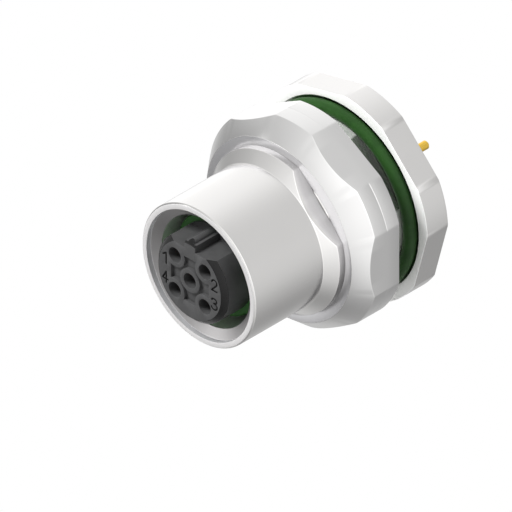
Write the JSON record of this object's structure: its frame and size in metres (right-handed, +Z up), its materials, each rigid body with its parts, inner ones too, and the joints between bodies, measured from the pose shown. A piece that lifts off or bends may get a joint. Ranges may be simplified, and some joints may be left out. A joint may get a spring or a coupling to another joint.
{
  "type": "circular panel connector",
  "caption": "Round metal M12 panel socket: keyed black contact carrier, threaded neck with a flat, hexagon flange and lock nut, green panel seal and gold solder tails.",
  "frame": {"origin": "on the connector's axis, in the flat front face of the flange, where the panel seats", "axes": "-Y is the mating direction, out of the socket towards the plug; +Y points along the solder tails; +Z is up, through the coding key; +X is to the right of a person who looks into the socket"},
  "size_m": [0.021, 0.0274, 0.021],
  "materials": {
    "housing_nickel": "bright nickel plate on turned brass",
    "nut_nickel": "bright nickel plate on turned brass",
    "panel_seal_rubber": "smooth green rubber",
    "socket_seal_rubber": "smooth green rubber",
    "inner_seal_rubber": "smooth black rubber",
    "carrier_plastic": "black moulded, satin",
    "rear_carrier_plastic": "black moulded, satin",
    "spring_steel": "grey spring steel",
    "contact_gold": "thin gold plate on turned brass"
  },
  "bodies": {
    "socket": {"housing": "housing_nickel", "panel_seal": "panel_seal_rubber", "socket_seal": "socket_seal_rubber", "contact_carrier": "carrier_plastic", "carrier_seal": "inner_seal_rubber", "rear_carrier": "rear_carrier_plastic", "retaining_ring": "spring_steel", "contact_1": "contact_gold", "contact_2": "contact_gold", "contact_3": "contact_gold", "contact_4": "contact_gold", "contact_5": "contact_gold"},
    "nut": {"lock_nut": "nut_nickel"}
  },
  "joints": [
    {"name": "lock_nut_turn", "type": "hinge", "parent": "socket", "child": "nut", "pos_m": [0, -0.00539, 0], "axis": [0, -1, 0], "continuous": true}
  ]
}
